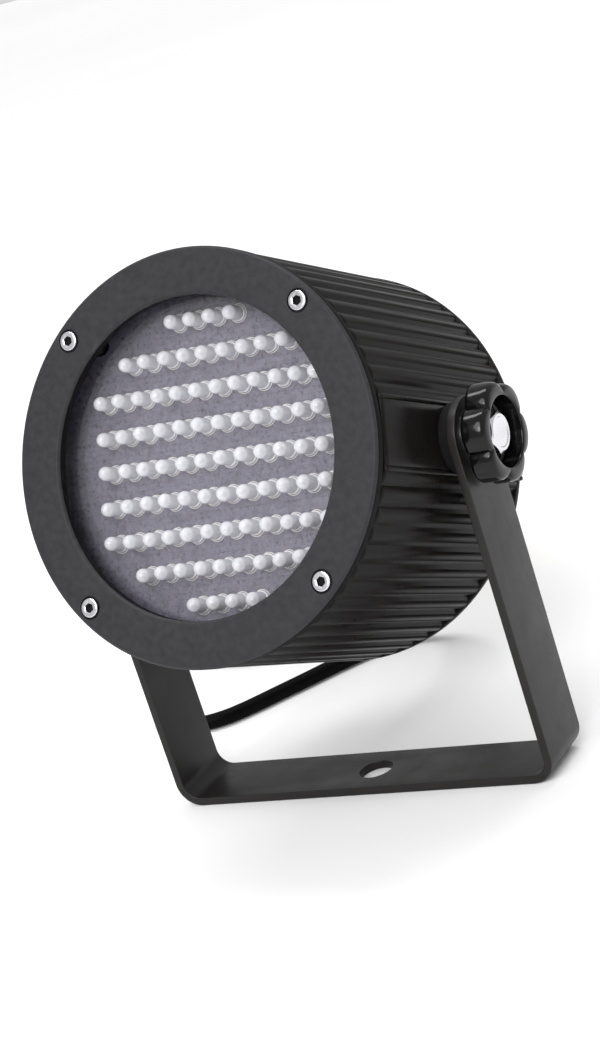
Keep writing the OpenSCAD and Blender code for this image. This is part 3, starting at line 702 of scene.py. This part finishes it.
def socket_shade_floor(shape, place, af):
    """Black floor in a screw's socket: painted shade in the recess."""
    flats = hexagon(af - 0.06)
    shape.turned([(0, 0.55), (flats, 0.6), (flats, 0.95), (lambda a: flats(a) - 0.25, 0.7),
                  (0, 0.66)], place, n=48)


def make_screws():
    """Ring and rear screws, the boards' screws in the rear panel, and the sockets' screws."""
    front, back, small, tiny, dark = (Shape() for _ in range(5))
    for a in (45, 135, 225, 315):
        spot = turn(a, "Z") @ mm(SCREW_CIRCLE_R, 0)
        for shape, place in ((front, CAN @ spot @ mm(0, 0, FRONT_Z - 1.6) @ turn(a * 1.7, "Z")),
                             (back, CAN @ spot @ mm(0, 0, REAR_Z) @ turn(180, "Y"))):
            socket_screw(shape, place, 6.6, 2.2, 3.0, 3.5, 12)
            socket_shade_floor(dark, place, 3.0)
    driver_posts = [(x, y) for x in (-50, 50) for y in (-19, 19)]
    display_posts = [(x, 26 + y) for x in (-26.5, 26.5) for y in (-18.5, 18.5)]
    for x, y in driver_posts + display_posts:
        place = rear(x, y) @ turn(x * 7, "Z")
        socket_screw(small, place, 5.5, 2.0, 2.0, 3.0, 6)
        socket_shade_floor(dark, place, 2.0)
    for s in (-SOCKET_X, SOCKET_X):
        for k in (-1, 1):
            place = rear(s + k * 9.5, SOCKET_Y + k * 12, REAR_Z - 2) @ turn(20 * k, "Z")
            socket_screw(tiny, place, 5.5, 2.0, 2.0, 3.0, 6)
    front.build("ring_screws_shaped", "steel", "can", ["front_screws"])
    back.build("rear_screws_shaped", "steel", "can", ["rear_screws"])
    small.build("board_screws_shaped", "steel", "can", ["board_screws"])
    tiny.build("socket_screws_shaped", "dark_steel", "can", ["socket_screws"])
    # Black floors in the screw sockets: painted shade.
    dark.build("screw_socket_shade", "dark_steel", "can", material=FINISH["gasket_rubber"])


make_screws()

# ---------------------------------------------------------------- LEDs

LED_ROWS = [4, 9, 12, 12, 12, 12, 12, 9, 4]
LED_PITCH, ROW_PITCH, LED_FACE_Z = 7.8, 12.0, 36.4


def led_places():
    """(colour, x, y, place) of every LED, rows numbered from the top one down."""
    n = 0
    for row, count in enumerate(LED_ROWS):
        for i in range(count):
            k = n % 10
            colour = 1 + (n // 10) % 2 if k == 9 else k % 3
            x = (i - (count - 1) / 2) * LED_PITCH
            y = ((len(LED_ROWS) - 1) / 2 - row) * ROW_PITCH
            lean = mm(x, y, LED_FACE_Z) @ turn(2.2 * math.sin(7.1 * n), "X") \
                @ turn(2.2 * math.cos(4.3 * n), "Y")
            yield colour, x, y, CAN @ lean
            n += 1


def make_leds():
    """Clear domes with a reflector bowl and a small dark chip inside; the domes' white share and the
    bowls' large pale size are painted brightness.
    """
    flat_side = lambda a: 2.55 if abs((a % TAU) - math.pi) < 0.5 else 2.9
    dome = arc(0, 6.1, 2.5, 0, 82, 8)
    bodies = [Shape() for _ in range(3)]
    bowls, chips = Shape(), Shape()
    for colour, _, _, place in led_places():
        bodies[colour].turned([(0, 0), (flat_side, 0), (flat_side, 0.8), (2.5, 1.0)] + dome
                              + [(0, 8.6)], place, n=24)
        bowls.turned([(0, 1.2), (1.3, 1.3), (2.2, 1.1), (2.35, 1.3), (2.38, 6.1), (2.2, 6.3),
                      (1.6, 5.5), (0.9, 5.05), (0, 5.0)], place, n=20)
        chips.turned([(0, 5.4), (1.05, 5.7), (1.0, 6.2), (0, 6.4)], place, n=14)
    for shape, node in zip(bodies, ("leds_red", "leds_green", "leds_blue")):
        shape.build(node + "_domes", "led_clear", "can", [node])
    bowls.build("led_bowls", "led_clear", "can", material=LED_BOWL)
    chips.build("led_chips", "led_clear", "can", material=LED_CHIP)


def make_led_board():
    """The board, with a short track beside each pair of LEDs and a printed ring round each."""
    edged("led_board", 0.15, "board_white", name="led_board_shaped")
    tracks, rings = Shape(), Shape()
    spots = [(x, y) for _, x, y, _ in led_places()]
    for n, (x, y) in enumerate(spots):
        rings.turned([(3.05, 0), (3.3, 0), (3.27, 0.04), (3.08, 0.04)],
                     CAN @ mm(x, y, LED_FACE_Z), n=28, loop=True)
        for s in (-1, 1):
            if (x + LED_PITCH, y) in spots:
                tracks.slab(LED_PITCH - 0.9, 0.8, 0, 0.07,
                            CAN @ mm(x + LED_PITCH / 2, y + s * 4.3, LED_FACE_Z)
                            @ turn(12 * s * (1 if n % 2 else -1), "Z"), r=0.35, edge=0.02)
    tracks.build("board_tracks", "board_white", "can", material=FINISH["board_white"])
    rings.build("board_rings", "board_white", "can", material=FINISH["white_plastic"])


make_leds()
make_led_board()

# ---------------------------------------------------------------- knobs

KNOB_IN, KNOB_OUT, HEX_SEAT = 78.4, 89.4, 81.9


def knob_outline(shrink=0.0):
    """Six round lobes with scooped sides between them."""
    def radius(a):
        c = abs(math.cos(3 * a))
        return 14.8 - shrink + 3.2 * c ** 0.7 * (1 - 0.05 * c)
    return radius


def make_knob(place, side):
    """A clamp knob round the head of its bolt, with the axis along the place's z."""
    base = KNOB_IN + 2.2
    sections = [(4.05, KNOB_IN), (10.2, KNOB_IN), (10.8, KNOB_IN + 0.3), (11.0, base - 0.1),
                (knob_outline(1.3), base), (knob_outline(0.5), base + 0.3),
                (knob_outline(0.05), base + 0.9), (knob_outline(0.0), base + 1.6),
                (knob_outline(0.15), KNOB_OUT - 3.0), (knob_outline(0.45), KNOB_OUT - 1.5),
                (knob_outline(1.0), KNOB_OUT - 0.6), (knob_outline(1.9), KNOB_OUT - 0.15),
                (12.6, KNOB_OUT - 0.05), (12.2, KNOB_OUT - 0.2), (12.0, KNOB_OUT - 0.7),
                (11.9, HEX_SEAT + 0.8), (11.2, HEX_SEAT), (8.8, HEX_SEAT), (8.5, HEX_SEAT + 0.3),
                (8.2, HEX_SEAT), (4.05, HEX_SEAT)]
    knob = Shape().turned(sections, place, n=144, loop=True)
    knob.build(side + "_knob_shaped", "knob_plastic", side + "_knob", [side + "_knob"], sharp=60.0)

    seat, top = HEX_SEAT, HEX_SEAT + 5.3
    flats = hexagon(13.0)
    chamfer = lambda a: top - 0.15 - (flats(a) - 6.2) * 0.6
    bolt = Shape().turned([(0, 61.0), (3.2, 61.0), (4.0, 61.9), (4.0, seat - 0.01),
                           (lambda a: flats(a) - 0.3, seat), (flats, seat + 0.3), (flats, chamfer),
                           (6.15, top), (5.2, top), (4.9, top - 0.25), (0, top - 0.35)],
                          place, n=72)
    bolt.build(side + "_bolt_shaped", "steel", side + "_knob", [side + "_bolt"], sharp=28.0)


make_knob(RIGHT, "right")
make_knob(LEFT, "left")

# ---------------------------------------------------------------- rear panel


def make_display():
    """The rear plate, and four digits of seven segments and a point behind the red window."""
    edged("rear_plate", 0.3, "panel_paint", name="rear_plate_shaped")
    edged("display_window", 0.2, "display_filter", name="display_pane")
    lit = Shape()
    top = -PLATE_IN_Z + 0.62
    for d in range(4):
        cx = (d - 1.5) * 6.6
        for sx, sy, w, h in ((0, 4.1, 3.0, 0.7), (0, 0, 3.0, 0.7), (0, -4.1, 3.0, 0.7),
                             (-1.95, 2.05, 0.7, 3.2), (1.95, 2.05, 0.7, 3.2),
                             (-1.95, -2.05, 0.7, 3.2), (1.95, -2.05, 0.7, 3.2)):
            lit.slab(w, h, top, top + 0.12,
                     CAN @ turn(180, "Y") @ mm(cx + sx + sy * 0.12, DISPLAY_Y + sy),
                     r=0.3, edge=0.03)
        lit.turned([(0, top), (0.45, top), (0.45, top + 0.12), (0, top + 0.12)],
                   CAN @ turn(180, "Y") @ mm(cx + 2.9, DISPLAY_Y - 4.3), n=16)
    lit.build("display_segments", "grey_plastic", "can")


def make_buttons():
    """Four menu buttons, and under each a plain mark (square, triangle or hexagon) and a line."""
    for i in range(4):
        place = rear((i - 1.5) * BUTTON_PITCH, BUTTON_Y)
        cap = Shape().turned([(0, -2.9), (4.0, -2.9), (4.2, -2.8), (4.2, -2.35), (3.2, -2.3),
                              (3.2, 1.3), (3.12, 1.65), (2.85, 1.9), (2.2, 1.98), (1.4, 1.86),
                              (0, 1.78)], place, n=40)
        button = f"menu_button_{i + 1}"
        cap.build(button + "_shaped", "grey_plastic", button, [button])
    marks = Shape()
    for i, sides in enumerate((4, 3, 3, 6)):
        spin = 180 if i == 1 else 0
        place = rear((i - 1.5) * BUTTON_PITCH, BUTTON_Y - 7.4) @ turn(90 + spin, "Z")
        marks.turned([(0, 0), (1.5, 0), (1.45, 0.06), (0, 0.06)], place, n=sides)
        marks.slab(9, 0.4, 0, 0.06, rear((i - 1.5) * BUTTON_PITCH, BUTTON_Y - 10.1), r=0.15,
                   edge=0.02)
    marks.build("panel_marks", "white_plastic", "can")


def make_sockets():
    """The DMX input with its pins, and the DMX output with its insert and latch."""
    edged("dmx_in_housing", 0.4, "black_plastic", name="dmx_in_shaped", segments=3)
    edged("dmx_out_housing", 0.4, "black_plastic", name="dmx_out_shaped", segments=3)
    edged("dmx_out_insert", 0.25, "black_plastic", name="dmx_insert_shaped")
    edged("dmx_out_latch", 0.35, "steel", "dmx_latch", name="dmx_latch_shaped")
    pins = Shape()
    floor = -(REAR_Z - 2 + 15)
    for a in (40, 140, 270):
        pins.turned([(0, floor - 10), (1.2, floor - 10), (1.2, floor + 10.8)]
                    + arc(0.35, floor + 11.15, 0.85, 0, 80, 4) + [(0, floor + 12)],
                    CAN @ mm(-SOCKET_X, SOCKET_Y) @ turn(a, "Z") @ mm(5.6, 0)
                    @ turn(180, "Y"), n=20)
    pins.build("dmx_pins_shaped", "brass", "can", ["dmx_in_pins"])
    trims = Shape()
    for x in (-SOCKET_X, SOCKET_X):
        trims.turned([(9.9, 2.0), (10.1, 2.25), (10.9, 2.25), (11.1, 2.0)],
                     rear(x, SOCKET_Y), n=64, loop=True)
    trims.build("socket_trims", "black_plastic", "can")


def make_fuse():
    """The fuse holder, and its fluted cap with a slot bar across."""
    edged("fuse_holder", 0.35, "black_plastic", name="fuse_holder_shaped")
    place = rear(0, FUSE_Y)
    flutes = lambda a: 6.2 - 0.28 * (0.5 + 0.5 * math.cos(18 * a))
    cap = Shape().turned([(2.6, -6), (4.5, -6), (4.5, 2.1), (6.0, 2.2), (flutes, 2.5),
                          (flutes, 5.2), (5.85, 5.7), (5.3, 6.0), (2.6, 6.0), (2.6, 5.0),
                          (2.6, 0.0)], place, n=108, loop=True)
    cap.slab(8.4, 1.5, 5.75, 6.02, place, r=0.3, edge=0.05)
    cap.turned([(0, 4.9), (2.62, 4.9), (2.62, 5.4), (0, 5.4)], place, n=24)
    cap.build("fuse_cap_shaped", "black_plastic", "fuse_cap", ["fuse_cap"])


def make_gland():
    """The cable gland's body, its clamping nut and the lead's strain relief."""
    edged("gland_body", 0.4, "black_plastic", name="gland_body_shaped", segments=3)
    place = rear(0, GLAND_Y)
    flats = hexagon(19.0)
    grip = lambda a: min(flats(a), 10.4) - 0.22 * (0.5 + 0.5 * math.cos(48 * a))
    nut = Shape().turned([(7.05, 4.6), (lambda a: min(flats(a), 10.1), 4.6), (grip, 5.1),
                          (grip, 9.4), (lambda a: min(flats(a), 9.9) - 0.2, 10.2), (8.6, 11.2),
                          (8.0, 13.2), (7.3, 14.3), (6.3, 14.5), (5.55, 14.3), (5.52, 9.7),
                          (7.05, 9.4)], place, n=144, loop=True)
    nut.build("gland_nut_shaped", "black_plastic", "can", ["gland_nut"])
    relief = Shape().turned([(3.03, 36.5), (3.03, 9.6), (5.45, 9.6), (5.45, 14.3)]
                            + [(r, 51 - z) for r, z in reversed(
                                relief_profile(14.5, 36.5, 3.7, 5.3, 6))], place, n=48, loop=True)
    relief.build("strain_relief_shaped", "cord_pvc", "can", ["strain_relief"])


make_display()
make_buttons()
make_sockets()
make_fuse()
make_gland()

# ---------------------------------------------------------------- CAD nodes that stay

CARRIED = {
    "led_resistors": "resistor", "board_standoffs": "brass", "driver_board": "board_green",
    "driver_transformer": "winding", "driver_capacitors": "capacitor", "driver_choke": "copper",
    "driver_heatsink": "aluminium", "driver_transistors": "black_plastic",
    "board_connectors": "white_plastic", "led_ribbon": "grey_plastic",
    "display_board": "board_green", "display_module": "black_plastic",
    "button_switches": "grey_plastic", "display_spacers": "white_plastic",
    "microphone": "aluminium", "gland_locknut": "black_plastic", "inner_lead": "cord_pvc",
    "mains_wires": "wire", "pivot_inserts": "brass", "friction_washers": "gasket_rubber",
    "fuse": "fuse_glass"}
for node, slot in CARRIED.items():
    mesh = NODES[node].data
    mesh.materials.clear()
    mesh.materials.append(FINISH[slot])

# ---------------------------------------------------------------- stage and light


def make_stage():
    """A plain pale floor under an even white sky."""
    mesh = bpy.data.meshes.new("floor")
    size = 3.0
    mesh.from_pydata([(-size, -size, 0), (size, -size, 0), (size, size, 0), (-size, size, 0)],
                     [], [(0, 1, 2, 3)])
    floor = bpy.data.objects.new("floor", mesh)
    floor.location.z = -0.0002
    bpy.context.scene.collection.objects.link(floor)
    g = Graph("floor_paper")
    g.feed(Base_Color=g.ramp(g.noise(2.0), [(0.3, (0.86, 0.86, 0.86)), (0.7, (0.9, 0.9, 0.9))]),
           Roughness=0.9, Specular_IOR_Level=0.2)
    mesh.materials.append(g.material)

    world = bpy.data.worlds.new("studio")
    world.use_nodes = True
    sky = world.node_tree.nodes["Background"].inputs
    sky["Color"].default_value = (1, 1, 1, 1)
    sky["Strength"].default_value = 0.68
    bpy.context.scene.world = world
    bpy.context.scene.view_settings.view_transform = "Standard"


def area_light(name, position, aim, size, power):
    data = bpy.data.lights.new(name, "AREA")
    data.shape = "RECTANGLE"
    data.size, data.size_y = size
    data.energy = power
    obj = bpy.data.objects.new(name, data)
    obj.location = position
    obj.rotation_mode = "QUATERNION"
    obj.rotation_quaternion = (Vector(aim) - Vector(position)).to_track_quat("-Z", "Y")
    bpy.context.scene.collection.objects.link(obj)


def sun_light(name, towards, strength, softness):
    """Even light over the whole floor, soft by its angle in degrees."""
    data = bpy.data.lights.new(name, "SUN")
    data.energy, data.angle = strength, math.radians(softness)
    obj = bpy.data.objects.new(name, data)
    obj.rotation_mode = "QUATERNION"
    obj.rotation_quaternion = (-Vector(towards)).to_track_quat("-Z", "Y")
    bpy.context.scene.collection.objects.link(obj)


make_stage()
area_light("key", (0.5, -1.3, 0.9), (0, 0, 0.1), (0.5, 0.5), 6)
area_light("top", (-0.1, 0.2, 1.4), (0, 0, 0.1), (1.2, 0.25), 9)
sun_light("sun", (0.1, -0.85, 0.75), 2.0, 40)
